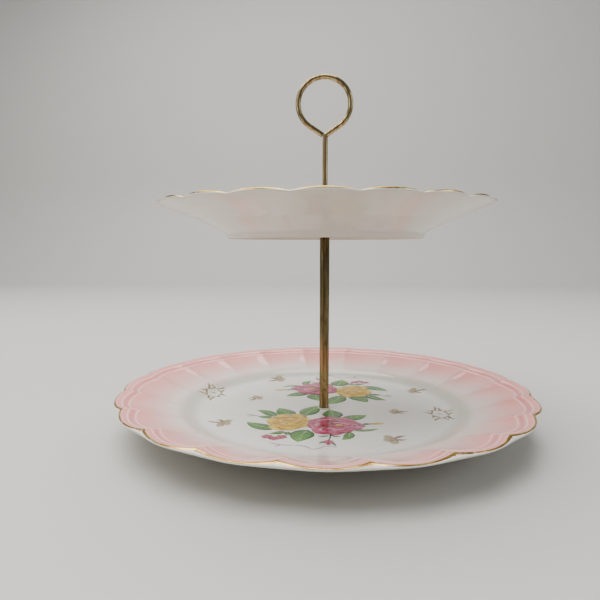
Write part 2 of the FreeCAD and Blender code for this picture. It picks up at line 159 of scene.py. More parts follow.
def china_plate(name, form):
    """Spins the section into a plate, then moves its points out to the scallops, flutes and ribs."""
    shape = bmesh.new()
    points = [shape.verts.new((r, 0, z)) for r, z in form.profile()]
    edges = [shape.edges.new((points[n - 1], points[n])) for n in range(len(points))]
    bmesh.ops.spin(shape, geom=points + edges, cent=(0, 0, 0), axis=(0, 0, 1), angle=2 * math.pi,
                   steps=SCALLOPS * STEPS_PER_SCALLOP, use_merge=True)
    bmesh.ops.remove_doubles(shape, verts=shape.verts, dist=0.0005)
    bmesh.ops.recalc_face_normals(shape, faces=shape.faces)
    mesh = bpy.data.meshes.new(name)
    shape.to_mesh(mesh)
    shape.free()

    place = np.empty(len(mesh.vertices) * 3)
    mesh.vertices.foreach_get("co", place)
    x, y, z = place.reshape(-1, 3).T
    r = np.hypot(x, y)
    turn = np.arctan2(y, x)
    # across a scallop: -1 and 1 at its notches, growing clockwise as seen from above
    across = -(np.mod(turn + HALF_SCALLOP, 2 * HALF_SCALLOP) / HALF_SCALLOP - 1)
    inset = form.radius - r
    on_top = z > (form.top(r) + form.under(r)) / 2
    on_lip = inset < form.bulge - 1e-6
    edge_z = form.top(form.radius - form.bulge)
    share = np.clip((edge_z - z) / form.lip, 0, 1)
    under = np.where(on_lip, share, np.where(on_top, 0.0, 1.0))

    # the notches are cut deep on top and only hinted at underneath
    upper_in = form.notch_in(np.clip(inset, 0, None), across)
    low_notch = form.notch * 0.18
    outer = smooth(form.kink, form.radius - 6.0, r)
    lower_in = low_notch * (0.5 - 0.5 * np.cos(math.pi * across)) * outer
    moved = r - upper_in * (1 - under) - lower_in * under
    rim = r > form.well
    top_z = form.top(r)
    under_z = z + (form.under(moved) - form.under(r)) * outer
    under_z = np.where(on_lip, form.under(moved), under_z)

    # the flutes are hollow between their ridges; at the edge the scallops or the notches dip
    hollow = (1 - across**2) * (1 - 0.25 * across)
    out = smooth(form.shoulder - 1.0, form.shoulder + 14.0, r)
    near_edge = smooth(9.0, 1.0, inset)
    top_z = top_z - hollow * out * (form.flute + (form.lobe_dip - form.flute) * near_edge)
    top_z = top_z - form.notch_dip * near_edge * across**2
    rib_height, rib_width, groove_depth, groove_width = 0.36, 0.42, 0.22, 1.1
    for at in form.ribs:
        top_z = top_z + rib_height * np.exp(-(((inset - at) / rib_width) ** 2)) * (1 - on_lip)
    between = sum(form.ribs) / 2
    top_z = top_z - groove_depth * np.exp(-(((inset - between) / groove_width) ** 2))
    lip_z = top_z * (1 - under) + under_z * under
    z = np.where(rim & (on_top | on_lip), lip_z, np.where(on_top, z, under_z))

    scale = np.where(r > 0, moved / r, 1)
    mesh.vertices.foreach_set("co", (np.stack([x * scale, y * scale, z], 1) * MM).ravel())
    # what the glaze is coloured by: distance inside the edge, share of the way round the lip,
    # and place across the flute
    for word, values in (("inset", inset), ("under", under), ("across", across)):
        layer = mesh.attributes.new(word, "FLOAT", "POINT")
        layer.data.foreach_set("value", values.astype(np.float32))
    mesh.polygons.foreach_set("use_smooth", [True] * len(mesh.polygons))
    mesh.update()
    plate = bpy.data.objects.new(name, mesh)
    bpy.context.scene.collection.objects.link(plate)
    return plate


def linear(red, green, blue):
    """A colour given from 0 to 255, as the shader wants it."""
    return tuple(((v / 255 + 0.055) / 1.055) ** 2.4 for v in (red, green, blue)) + (1.0,)


def shader(name):
    """A new material with an empty Principled surface: the material, its nodes, links and shader."""
    finish = bpy.data.materials.new(name)
    finish.use_nodes = True
    nodes, links = finish.node_tree.nodes, finish.node_tree.links
    return finish, nodes, links, nodes["Principled BSDF"]


def calc(tree, kind, first, second=None):
    """A Math node on two values, each a number or another node's output."""
    node = tree.nodes.new("ShaderNodeMath")
    node.operation = kind
    for socket, value in zip(node.inputs, (first, second)):
        if isinstance(value, bpy.types.NodeSocket):
            tree.links.new(value, socket)
        elif value is not None:
            socket.default_value = value
    return node.outputs[0]


def times(tree, first, second):
    """The product of two values."""
    return calc(tree, "MULTIPLY", first, second)


def away_from(tree, value, place):
    """How far a value is from a place, either way."""
    return calc(tree, "ABSOLUTE", calc(tree, "SUBTRACT", value, place))


def either_way(tree, grain, amount):
    """Noise as a shift up or down by up to half of an amount."""
    return times(tree, calc(tree, "SUBTRACT", grain, 0.5), amount)


def ramp(tree, value, low, high, low_out=0.0, high_out=1.0):
    """A smooth step from one value to another."""
    node = tree.nodes.new("ShaderNodeMapRange")
    node.interpolation_type = "SMOOTHSTEP"
    for socket, number in zip(list(node.inputs)[1:5], (low, high, low_out, high_out)):
        socket.default_value = number
    tree.links.new(value, node.inputs["Value"])
    return node.outputs[0]


def mixed(tree, share, first, second):
    """A mix of two colours, each a colour or another node's output."""
    node = tree.nodes.new("ShaderNodeMix")
    node.data_type = "RGBA"
    tree.links.new(share, node.inputs["Factor"])
    colours = [s for s in node.inputs if s.type == "RGBA"]
    for socket, value in zip(colours, (first, second)):
        if isinstance(value, bpy.types.NodeSocket):
            tree.links.new(value, socket)
        else:
            socket.default_value = value
    return next(s for s in node.outputs if s.type == "RGBA")


def noise(tree, scale, detail=2.0, stretch=None):
    """Noise in the piece's own frame, in lumps of about 1/scale metres."""
    place = tree.nodes.new("ShaderNodeTexCoord").outputs["Object"]
    if stretch:
        turned = tree.nodes.new("ShaderNodeMapping")
        turned.inputs["Scale"].default_value = stretch
        tree.links.new(place, turned.inputs["Vector"])
        place = turned.outputs["Vector"]
    node = tree.nodes.new("ShaderNodeTexNoise")
    node.inputs["Scale"].default_value = scale
    node.inputs["Detail"].default_value = detail
    tree.links.new(place, node.inputs["Vector"])
    return node.outputs["Fac"]


def reading(tree, word):
    """One of the piece's own attributes as a number."""
    node = tree.nodes.new("ShaderNodeAttribute")
    node.attribute_name = word
    return node.outputs["Fac"]


def painted_colour(tree):
    """The colour that each stroke carries."""
    node = tree.nodes.new("ShaderNodeAttribute")
    node.attribute_name = "paint"
    return node.outputs["Color"]


def height_on(tree):
    """Height on the piece, in metres above the table."""
    place = tree.nodes.new("ShaderNodeSeparateXYZ")
    tree.links.new(tree.nodes.new("ShaderNodeTexCoord").outputs["Object"], place.inputs[0])
    return place.outputs["Z"]


COLOUR, NUMBER = "NodeSocketColor", "NodeSocketFloat"


def finish_group(name, **inputs):
    """A node group that gives a colour, a roughness and a height: the group, its inputs, its result."""
    group = bpy.data.node_groups.new(name, "ShaderNodeTree")
    for word, kind in inputs.items():
        group.interface.new_socket(word, in_out="INPUT", socket_type=kind)
    for word, kind in (("Colour", COLOUR), ("Roughness", NUMBER), ("Height", NUMBER)):
        group.interface.new_socket(word, in_out="OUTPUT", socket_type=kind)
    given = group.nodes.new("NodeGroupInput")
    result = group.nodes.new("NodeGroupOutput")
    return group, given.outputs, result.inputs


def glaze_group():
    """Old glaze: faint clouds of tone, a few specks, and the shallow ripple of a fired surface."""
    group, given, result = finish_group("old_glaze", Colour=COLOUR, Clouds=NUMBER)
    cloud_tone, speck_tone = linear(196, 192, 172), linear(150, 132, 104)
    clouds = times(group, ramp(group, noise(group, 38.0, 4.0), 0.35, 0.75), given["Clouds"])
    toned = mixed(group, clouds, given["Colour"], cloud_tone)
    specks = ramp(group, noise(group, 620.0, 1.0), 0.77, 0.80, 0.0, 0.35)
    group.links.new(mixed(group, specks, toned, speck_tone), result["Colour"])
    group.links.new(ramp(group, noise(group, 90.0, 3.0), 0.3, 0.8, 0.05, 0.13), result["Roughness"])
    group.links.new(noise(group, 150.0, 2.0), result["Height"])
    return group


old_glaze = glaze_group()


def place_group(tree, group, **values):
    """An instance of a node group with its own values."""
    node = tree.nodes.new("ShaderNodeGroup")
    node.node_tree = group
    for word, value in values.items():
        if isinstance(value, bpy.types.NodeSocket):
            tree.links.new(value, node.inputs[word])
        else:
            node.inputs[word].default_value = value
    return node


def bumped(tree, bsdf, height, strength, distance):
    """Feeds a height through a Bump node to the surface's normal."""
    bump = tree.nodes.new("ShaderNodeBump")
    bump.inputs["Strength"].default_value = strength
    bump.inputs["Distance"].default_value = distance
    tree.links.new(height, bump.inputs["Height"])
    tree.links.new(bump.outputs["Normal"], bsdf.inputs["Normal"])


# the second and third glaze colours are painted shade, for the well's wall and for the underside
WHITE_GLAZE, WALL_SHADE_GLAZE, UNDERSIDE_SHADE_GLAZE = linear(247, 247, 241), linear(178, 181, 162), linear(176, 166, 146)
# the second pink is painted shade for the groove, the third a painted highlight for the ribs
PINK, GROOVE_SHADE_PINK, RIB_HIGHLIGHT_PINK = linear(240, 152, 148), linear(204, 116, 126), linear(250, 214, 208)
DARK_GOLD, BRIGHT_GOLD = linear(168, 128, 46), linear(232, 194, 104)
BARE_CLAY, STAINED_CLAY = linear(206, 196, 176), linear(170, 158, 138)


def plate_finish(name, form):
    """White glaze, pink sprayed on the rim, and worn gilding on the edge."""
    finish, nodes, links, bsdf = shader(name)
    tree = finish.node_tree
    inset = reading(tree, "inset")
    under = reading(tree, "under")
    across = reading(tree, "across")
    width = form.radius - form.shoulder

    # the spray is densest just inside the ribs and thins out towards the shoulder
    drift = either_way(tree, noise(tree, 30.0, 3.0), 9.0)
    lean = times(tree, across, 2.6)
    reach = calc(tree, "ADD", calc(tree, "ADD", inset, drift), lean)
    spray = calc(tree, "POWER", ramp(tree, reach, width * 1.2, width * 0.1), 0.72)
    spray = times(tree, spray, ramp(tree, inset, -0.5, 2.5, 0.55, 0.95))
    upper = ramp(tree, under, 0.45, 0.15)
    spray = times(tree, spray, upper)
    # painted shade: the glaze is painted grey-green where the well's wall rises, and greyer all over the
    # underside
    glaze = place_group(tree, old_glaze, Colour=WHITE_GLAZE, Clouds=0.16)
    painted_wall_shade = times(tree, ramp(tree, away_from(tree, inset, width + 4.5), 8.5, 1.0, 0.0, 0.5), upper)
    colour = mixed(tree, painted_wall_shade, glaze.outputs["Colour"], WALL_SHADE_GLAZE)
    # painted shade: the underside is painted greyer
    painted_underside_shade = ramp(tree, under, 0.4, 0.7, 0.0, 0.6)
    colour = mixed(tree, painted_underside_shade, colour, UNDERSIDE_SHADE_GLAZE)
    colour = mixed(tree, spray, colour, PINK)
    # painted shade darkens the pink in the groove between the ribs, and a painted highlight makes the ribs
    # pale
    between = sum(form.ribs) / 2
    painted_groove_shade = times(tree, ramp(tree, away_from(tree, inset, between), 1.5, 0.3, 0.0, 0.5), upper)
    colour = mixed(tree, painted_groove_shade, colour, GROOVE_SHADE_PINK)
    for at in form.ribs:
        painted_rib_highlight = times(tree, ramp(tree, away_from(tree, inset, at), 0.75, 0.2, 0.0, 0.8), upper)
        colour = mixed(tree, painted_rib_highlight, colour, RIB_HIGHLIGHT_PINK)

    # gilding: over the rounded edge, thin and patchy where hands and cloths have worn it
    worn = noise(tree, 120.0, 5.0)
    band = calc(tree, "ADD", inset, either_way(tree, worn, 0.7))
    gilt = ramp(tree, band, 1.05, 0.75)
    tips = times(tree, calc(tree, "SUBTRACT", 1.0, calc(tree, "POWER", across, 2.0)), 0.12)
    reach_down = calc(tree, "SUBTRACT", under, tips)
    gilt = times(tree, gilt, ramp(tree, reach_down, form.gilt_down + 0.07, form.gilt_down))
    patches = ramp(tree, noise(tree, 300.0, 4.0), 0.34, 0.48, 0.5, 1.0)
    gilt = times(tree, gilt, patches)
    gold = mixed(tree, ramp(tree, worn, 0.35, 0.65), DARK_GOLD, BRIGHT_GOLD)
    colour = mixed(tree, gilt, colour, gold)

    # the foot ring stands bare of glaze
    bare = ramp(tree, height_on(tree), (form.foot_z + 0.35) * MM, (form.foot_z + 0.1) * MM)
    clay = mixed(tree, noise(tree, 900.0, 4.0), BARE_CLAY, STAINED_CLAY)
    colour = mixed(tree, bare, colour, clay)
    links.new(colour, bsdf.inputs["Base Color"])
    links.new(times(tree, gilt, 0.92), bsdf.inputs["Metallic"])
    rough = calc(tree, "MAXIMUM", glaze.outputs["Roughness"], times(tree, gilt, 0.24))
    rough = calc(tree, "MAXIMUM", rough, times(tree, bare, 0.75))
    links.new(rough, bsdf.inputs["Roughness"])
    bumped(tree, bsdf, glaze.outputs["Height"], 0.06, 0.0006)
    return finish


lower = PlateForm("lower_plate", floor=8.2, well=78.5, shoulder=89.5, wall_rise=4.4, notch=3.6,
                  base=4.2, kink=97.0, foot=73.7, lip=3.1, ribs=(4.4, 8.6), lobe_dip=1.1, notch_dip=0.0,
                  gilt_down=0.2)
upper = PlateForm("upper_plate", floor=122.2, well=60.5, shoulder=70.0, wall_rise=5.6, notch=2.9,
                  base=3.8, kink=76.0, foot=57.9, lip=2.6, ribs=(3.6, 7.0), lobe_dip=0.0, notch_dip=1.3,
                  gilt_down=0.3)
for form, node, body, piece in ((lower, "lower_plate", "lower_tier", "china_lower"),
                                (upper, "upper_plate", "upper_tier", "china_upper")):
    china = china_plate(piece, form)
    china.data.materials.append(plate_finish(f"{piece}_glaze", form))
    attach(china, body)
    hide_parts(node)

# ---------------------------------------------------------------------------- printed flowers
# Enamel transfers fired onto the glaze: two sprays of a yellow and a crimson rose with leaves and
# buds on each plate, and gilt sprigs round them. Every stroke is a thin skin of colour of its own.
# outlines: where a stroke is widest along its length, and how blunt its ends are
LEAF, PETAL, LINE = (0.8, 0.85), (1.35, 0.5), (1.0, 0.35)
SKIN = 0.005
FIRST_LEVEL = 4


class Enamel:
    """Painted strokes that lie on a plate's glaze, given in millimetres from the plate's centre."""

    def __init__(self, form, scale, turn=0.0, shift=0.0):
        self.form = form
        self.scale = scale
        self.turn = turn
        self.shift = shift
        self.level = FIRST_LEVEL
        self.chance = random.Random(11)
        self.shape = bmesh.new()
        self.paint = self.shape.verts.layers.float_color.new("paint")

    def over(self):
        """What comes next is painted over what is there."""
        self.level += 1

    def on_glaze(self, x, y):
        """The point on the glaze, in metres, at a place on the sheet."""
        across = (x * math.cos(self.turn) - y * math.sin(self.turn)) * self.scale
        back = (x * math.sin(self.turn) + y * math.cos(self.turn) + self.shift) * self.scale
        height = float(self.form.top(math.hypot(across, back)))
        return Vector((across, back, height + self.level * SKIN)) * MM

    def stroke(self, start, end, width, lean, outline, near, far, edge=None, along=10, over=4):
        """A stroke from start to end that bends sideways by a share of its length."""
        start, end = Vector(start), Vector(end)
        run = end - start
        bend = (start + end) / 2 + Vector((-run.y, run.x)) * lean
        sheet = bmesh.ops.create_grid(self.shape, x_segments=along, y_segments=over, size=1.0)
        tone = self.chance.uniform(0.93, 1.07)
        least = 0.05
        for vert in sheet["verts"]:
            t, side = (vert.co.x + 1) / 2, vert.co.y
            centre = start * (1 - t) ** 2 + bend * 2 * t * (1 - t) + end * t**2
            ahead = (bend - start) * (1 - t) + (end - bend) * t
            ahead.normalize()
            half = width / 2 * max(math.sin(math.pi * t ** outline[0]), 0.0) ** outline[1] + least
            vert.co = self.on_glaze(centre.x - ahead.y * side * half, centre.y + ahead.x * side * half)
            colour = [a * (1 - t) + b * t for a, b in zip(near, far)]
            if edge:
                share = 0.75 * abs(side) ** 2.5
                colour = [a * (1 - share) + b * share for a, b in zip(colour, edge)]
            vert[self.paint] = [channel * tone for channel in colour[:3]] + [1.0]

    def leaf(self, base, tip, width, lean=0.0, light=0.0):
        """A leaf in two greens, with a dark outline, a pale vein and a few side veins."""
        near, far = linear(30 + light, 104 + light, 30), linear(94 + light, 172 + light, 60)
        dark, vein = linear(10, 50, 24), linear(168, 204, 140)
        self.stroke(base, tip, width, lean, LEAF, near, far, dark, over=6)
        base, tip = Vector(base), Vector(tip)
        self.over()
        self.stroke(base, base.lerp(tip, 0.88), 0.6, lean, LINE, vein, far, over=2)
        side_way = Vector((-(tip - base).y, (tip - base).x)).normalized()
        for share in (0.3, 0.48, 0.66):
            root = base.lerp(tip, share) + side_way * lean * (tip - base).length * 2 * share * (1 - share)
            for side in (-1, 1):
                out = root + side_way * side * width * 0.3 + (tip - base) * 0.1
                self.stroke(root, out, 0.4, 0.1 * side, LINE, dark, near, along=4, over=2)
        self.level -= 1

    def rose(self, centre, wide, deep, rings, start_turn):
        """Rings of overlapping petals, each ring smaller than the last and painted over it."""
        for share_in, share_out, count, width, near, far, edge in rings:
            for n in range(count):
                turn = start_turn + 2 * math.pi * (n + self.chance.uniform(-0.12, 0.12)) / count
                reach = share_out * self.chance.uniform(0.92, 1.05)
                way = Vector((math.cos(turn) * wide, math.sin(turn) * deep))
                middle = Vector(centre)
                self.over()
                self.stroke(middle + way * share_in, middle + way * reach, width * wide,
                            self.chance.uniform(-0.12, 0.12), PETAL, near, far, edge, along=8, over=6)
            start_turn += 0.55

    def finish(self, name, finish, body):
        """The painted sheet as a piece of its own, riding with its plate."""
        bmesh.ops.recalc_face_normals(self.shape, faces=self.shape.faces)
        down = [f for f in self.shape.faces if f.normal.z < 0]
        bmesh.ops.reverse_faces(self.shape, faces=down)
        mesh = bpy.data.meshes.new(name)
        self.shape.to_mesh(mesh)
        self.shape.free()
        mesh.polygons.foreach_set("use_smooth", [True] * len(mesh.polygons))
        mesh.materials.append(finish)
        piece = bpy.data.objects.new(name, mesh)
        bpy.context.scene.collection.objects.link(piece)
        skin = piece.modifiers.new("skin", "SOLIDIFY")
        skin.thickness = SKIN * 0.8 * MM
        skin.offset = -1.0
        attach(piece, body)


enamel, nodes, links, bsdf = shader("flower_enamel")
tree = enamel.node_tree
grains = ramp(tree, noise(tree, 1500.0, 3.0), 0.3, 0.75, 0.0, 0.14)
glossy = place_group(tree, old_glaze, Colour=painted_colour(tree), Clouds=0.0)
washed = mixed(tree, grains, glossy.outputs["Colour"], linear(236, 226, 212))
strokes = ramp(tree, noise(tree, 420.0, 3.0, (1.0, 2.4, 1.0)), 0.35, 0.7, 0.75, 1.12)
shade = nodes.new("ShaderNodeHueSaturation")
links.new(washed, shade.inputs["Color"])
links.new(strokes, shade.inputs["Value"])
links.new(shade.outputs["Color"], bsdf.inputs["Base Color"])
links.new(glossy.outputs["Roughness"], bsdf.inputs["Roughness"])
bsdf.inputs["Specular IOR Level"].default_value = 0.25
bumped(tree, bsdf, noise(tree, 900.0, 2.0), 0.15, 0.0001)

leaf_gilt, nodes, links, bsdf = shader("sprig_gilt")
tree = leaf_gilt.node_tree
rubbed = ramp(tree, noise(tree, 520.0, 4.0), 0.35, 0.6)
dulled = mixed(tree, ramp(tree, rubbed, 0.0, 1.0, 0.0, 0.3), painted_colour(tree), linear(156, 130, 94))
links.new(dulled, bsdf.inputs["Base Color"])
links.new(times(tree, rubbed, 0.3), bsdf.inputs["Metallic"])
links.new(ramp(tree, rubbed, 0.0, 1.0, 0.16, 0.34), bsdf.inputs["Roughness"])

OCHRE, YELLOW, CREAM = linear(172, 112, 2), linear(228, 172, 6), linear(246, 220, 76)
CRIMSON, ROSE_RED, PALE_ROSE = linear(126, 6, 44), linear(182, 30, 82), linear(238, 150, 182)
VIOLET, DEEP_PINK = linear(172, 62, 130), linear(198, 60, 118)
STEM, DARK_STEM = linear(72, 126, 62), linear(28, 72, 36)


def rose_spray(sheet):
    """A yellow and a crimson rose side by side, with leaves, buds, blossoms and tendrils."""
    sheet.leaf((-29.5, -19.5), (-42.2, -7.0), 7.5, -0.22)
    sheet.leaf((-18.0, -18.0), (-28.6, -1.8), 11.5, 0.1)
    sheet.leaf((-12.0, -17.0), (-3.2, 3.6), 12.0, 0.08, 8)
    sheet.leaf((6.0, -20.5), (3.6, -4.2), 13.0, -0.05)
    sheet.leaf((10.0, -22.0), (26.0, -13.6), 9.5, -0.12, 6)
    sheet.leaf((-27.0, -41.0), (-45.4, -29.6), 9.5, 0.14, 4)
    sheet.leaf((-31.0, -20.5), (-40.0, -19.0), 5.0, 0.1)
    sheet.over()
    sheet.leaf((-9.0, -41.5), (-13.9, -60.2), 13.5, -0.08, 12)
    sheet.leaf((17.0, -41.5), (31.2, -37.6), 3.4, -0.18, 10)
    sheet.leaf((14.0, -44.0), (9.6, -56.2), 6.0, 0.3, 12)
    sheet.leaf((-22.0, -44.5), (-30.5, -48.5), 4.5, 0.2)
    sheet.leaf((-20.0, -45.0), (-19.0, -50.5), 4.0, -0.2)
    sheet.over()
    sheet.over()
    # small crimson blossoms in a pale halo
    petals = 5
    for x, y in ((-31.0, -53.0), (-26.8, -55.4), (-23.0, -53.2)):
        for n in range(petals):
            turn = 2 * math.pi * n / petals + x
            tip = (x + 3.4 * math.cos(turn), y + 3.4 * math.sin(turn))
            sheet.stroke((x, y), tip, 3.2, 0.1, PETAL, CRIMSON, DEEP_PINK, PALE_ROSE, along=5)
            sheet.over()
        sheet.stroke((x - 0.7, y), (x + 0.7, y), 1.2, 0.0, PETAL, OCHRE, YELLOW, along=3, over=2)
        sheet.level -= petals
    # buds on their stems
    sheet.stroke((3.6, -46.5), (2.4, -58.0), 0.9, 0.08, LINE, DARK_STEM, STEM, over=2)
    for start, end, lean in (((2.8, -50.0), (-3.4, -51.6), 0.2), ((3.2, -49.0), (9.6, -51.6), -0.2),
                             ((2.2, -59.0), (6.4, -65.0), 0.2), ((2.2, -58.0), (-2.6, -62.5), -0.2)):
        sheet.stroke(start, end, 1.8, lean, LEAF, STEM, DARK_STEM, over=2)
    sheet.over()
    for x, y in ((0.2, -59.6), (4.2, -60.2), (2.2, -62.4)):
        sheet.stroke((2.3, -56.6), (x, y - 1.6), 3.4, 0.1, PETAL, DEEP_PINK, CRIMSON, PALE_ROSE, along=6)
        sheet.over()
    sheet.stroke((22.0, -31.0), (29.0, -29.9), 2.8, 0.1, LEAF, DARK_STEM, STEM, over=2)
    sheet.over()
    sheet.stroke((26.0, -30.4), (35.4, -28.8), 3.4, 0.05, PETAL, OCHRE, CREAM, YELLOW)
    # trailing tendrils
    grey = linear(168, 158, 172)
    for start, end, lean in (((-48.1, -15.5), (-37.7, -20.7), 0.15), ((-47.0, -18.5), (-42.6, -17.2), -0.3),
                             ((-29.2, -61.1), (-15.6, -64.9), -0.22), ((-15.6, -64.9), (-6.5, -70.0), 0.3),
                             ((-6.5, -70.0), (0.2, -65.6), -0.3), ((0.2, -65.6), (7.0, -67.0), 0.3),
                             ((-23.0, -63.8), (-25.5, -67.2), 0.3)):
        sheet.stroke(start, end, 0.8, lean, LINE, grey, STEM if start[0] < -40 else grey, over=2)
    sheet.over()
    sheet.rose((-20.6, -28.6), 13.8, 15.8, [
        (0.10, 1.00, 7, 0.95, YELLOW, CREAM, OCHRE),
        (0.05, 0.72, 6, 0.75, OCHRE, YELLOW, CREAM),
        (0.00, 0.46, 5, 0.52, YELLOW, CREAM, OCHRE),
    ], 0.4)
    for start, end, width, lean, colour in (
            ((-29, -24), (-16, -21), 1.1, 0.25, OCHRE), ((-31, -30), (-19, -35), 1.1, -0.2, OCHRE),
            ((-25, -27), (-15, -28.5), 1.3, 0.35, OCHRE), ((-22, -33), (-12, -31), 1.0, -0.3, CREAM),
            ((-15, -20), (-9.6, -27), 1.6, 0.3, CREAM), ((-28, -37), (-20, -41), 1.1, -0.25, OCHRE)):
        sheet.stroke(start, end, width, lean, LINE, colour, YELLOW, over=2)
        sheet.over()
    sheet.rose((4.8, -33.6), 14.8, 16.6, [
        (0.10, 1.00, 8, 0.88, ROSE_RED, DEEP_PINK, CRIMSON),
        (0.05, 0.76, 6, 0.74, CRIMSON, DEEP_PINK, PALE_ROSE),
        (0.00, 0.48, 5, 0.52, CRIMSON, ROSE_RED, DEEP_PINK),
    ], 0.9)
    for start, end, lean in (((12, -27), (24.2, -35.4), 0.08), ((12, -38), (22.6, -37.0), -0.15),
                             ((9, -24), (19.5, -28.5), 0.12)):
        sheet.stroke(start, end, 6.4, lean, LEAF, ROSE_RED, VIOLET, PALE_ROSE, over=6)
        sheet.over()
    for start, end, width, lean, colour in (
            ((-5, -28), (5, -24), 1.4, 0.3, PALE_ROSE), ((-7, -35), (-3, -42), 1.2, -0.25, PALE_ROSE),
            ((5, -30), (15, -33), 1.3, 0.35, PALE_ROSE), ((2, -38), (12, -40), 1.4, -0.3, PALE_ROSE),
            ((-2, -33), (4, -37), 1.6, -0.4, CRIMSON), ((6.5, -34.6), (11.5, -33.4), 1.7, 0.25, CREAM),
            ((0, -26), (9, -27.5), 1.2, 0.3, CRIMSON), ((13, -31), (20, -34), 1.0, 0.2, PALE_ROSE)):
        sheet.stroke(start, end, width, lean, LINE, colour, colour, over=2)
        sheet.over()


GILT_DARK, GILT_LIGHT, GILT_WASH = linear(134, 112, 82), linear(168, 146, 112), linear(206, 192, 164)


def open_sprig(sheet, x, y, wide, deep, turn):
    """A five-sided flower drawn in outline, with a forked tendril at each corner."""
    def at(way, share):
        return Vector((x + wide * share * math.cos(way), y + deep * share * math.sin(way)))

    sides = 5
    for n in range(sides):
        way = turn + 2 * math.pi * n / sides
        sheet.stroke(at(way, 0.62), at(way + 2 * math.pi / sides, 0.62), 1.1, -0.06, LINE,
                     GILT_DARK, GILT_LIGHT, along=8, over=2)
        sheet.over()
        for off, reach, lean in ((-0.5, 1.2, -0.3), (0.42, 0.98, 0.35)):
            sheet.stroke(at(way, 0.6), at(way + off, reach), 1.6, lean, LEAF, GILT_LIGHT, GILT_DARK,
                         along=6, over=2)
        sheet.level -= 1
    sheet.stroke((x - 1.6, y), (x + 1.6, y), 1.6, 0.0, PETAL, GILT_DARK, GILT_LIGHT, along=4, over=2)


def closed_sprig(sheet, x, y, size, turn):
    """Three filled lobes with dark outlines, on a stem with a pair of leaves."""
    for n in (-1, 1, 0):
        way = turn + n * 0.95
        tip = (x + size * math.cos(way), y + size * 1.15 * math.sin(way))
        sheet.stroke((x, y), tip, size * 0.68, 0.1 * n, PETAL, GILT_LIGHT, GILT_WASH, GILT_DARK,
                     along=8, over=8)
        sheet.over()
    for lean, reach in ((0.25, 1.35), (-0.4, 0.95)):
        way = turn + math.pi + lean
        tip = (x + size * reach * math.cos(way), y + size * reach * math.sin(way))
        sheet.stroke((x, y), tip, 2.2, lean, LEAF, GILT_DARK, GILT_LIGHT, along=6, over=2)
        sheet.over()
    sheet.level -= 5      # as many as were painted over each other here


# the back spray lies half a turn round and a little nearer the column
for form, body, name, scale in ((lower, "lower_tier", "lower", 1.0), (upper, "upper_tier", "upper", 0.787)):
    for side, turn, shift in (("front", 0.0, 0.0), ("back", math.pi, 11.0)):
        sheet = Enamel(form, scale, turn, shift)
        rose_spray(sheet)
        sheet.finish(f"{side}_spray_{name}", enamel, body)
    sheet = Enamel(form, scale)
    open_sprig(sheet, -77.0, 27.0, 8.8, 13.5, 0.3)
    open_sprig(sheet, 71.5, -9.4, 8.6, 13.0, 3.4)
    for x, y, size, turn in ((-46.4, 19.3, 5.6, 0.7), (45.8, -6.3, 5.4, 2.9), (-60.2, -31.0, 6.8, -0.5),
                             (65.0, 41.0, 6.0, 2.8), (-36.0, 69.0, 6.6, 0.3), (38.1, -53.5, 6.8, 3.5)):
        closed_sprig(sheet, x, y, size, turn)
    sheet.finish(f"gilt_sprigs_{name}", leaf_gilt, body)

# ---------------------------------------------------------------------------- brass column
# A drawn brass tube with lightly rolled ends stands on the lower plate. Its lacquer has gone brown
# in streaks, and it is painted a darker brown higher up. The washers on it, and those under the lower
# plate and under the handle, are small turned pieces.


def worn_brass_group():
    """Brass that has dulled in long streaks and small brown spots."""
    group, given, result = finish_group("worn_brass", Bright=COLOUR, Dull=COLOUR, Wear=NUMBER)
    wear = given["Wear"]
    streaks = noise(group, 900.0, 4.0, (1.0, 1.0, 0.03))
    blotches = noise(group, 240.0, 5.0)
    colour = mixed(group, ramp(group, streaks, 0.38, 0.62), given["Dull"], given["Bright"])
    dull = times(group, ramp(group, blotches, 0.52, 0.7, 0.0, 0.6), wear)
    colour = mixed(group, dull, colour, given["Dull"])
    spots = times(group, ramp(group, noise(group, 1700.0, 2.0), 0.7, 0.76, 0.0, 0.6), wear)
    group.links.new(mixed(group, spots, colour, linear(70, 52, 26)), result["Colour"])
    uneven = times(group, ramp(group, streaks, 0.3, 0.7, 0.16, 0.02), wear)
    polish = 0.17
    rough = calc(group, "ADD", calc(group, "ADD", uneven, polish), times(group, dull, 0.2))
    group.links.new(rough, result["Roughness"])
    group.links.new(streaks, result["Height"])
    return group


worn_brass = worn_brass_group()


def brass_finish(name, bright, dull, wear, bump, darkens=None):
    """A brass finish with its own two tones and wear. Between the two heights it may darken to brown."""
    finish, nodes, links, bsdf = shader(name)
    tree = finish.node_tree
    brass = place_group(tree, worn_brass, Bright=bright, Dull=dull, Wear=wear)
    colour = brass.outputs["Colour"]
    if darkens:
        drift = either_way(tree, noise(tree, 60.0, 3.0), 20.0 * MM)
        height = calc(tree, "ADD", height_on(tree), drift)
        brown = ramp(tree, height, darkens[0] * MM, darkens[1] * MM, 0.0, 0.6)
        colour = mixed(tree, brown, colour, linear(58, 48, 34))
    links.new(colour, bsdf.inputs["Base Color"])
    links.new(brass.outputs["Roughness"], bsdf.inputs["Roughness"])
    bsdf.inputs["Metallic"].default_value = 1.0
    bumped(tree, bsdf, brass.outputs["Height"], bump, 0.0002)
    return finish


def satin_finish(name, light, dark, scale, low_rough, high_rough, metal=0.0):
    """A plain worn finish: two tones, uneven gloss and fine scratches."""
    finish, nodes, links, bsdf = shader(name)
    tree = finish.node_tree
    patches = noise(tree, scale, 5.0)
    links.new(mixed(tree, ramp(tree, patches, 0.35, 0.68), light, dark), bsdf.inputs["Base Color"])
    links.new(ramp(tree, patches, 0.3, 0.7, low_rough, high_rough), bsdf.inputs["Roughness"])
    bsdf.inputs["Metallic"].default_value = metal
    bumped(tree, bsdf, noise(tree, scale * 3, 3.0), 0.15, 0.0001)
    return finish


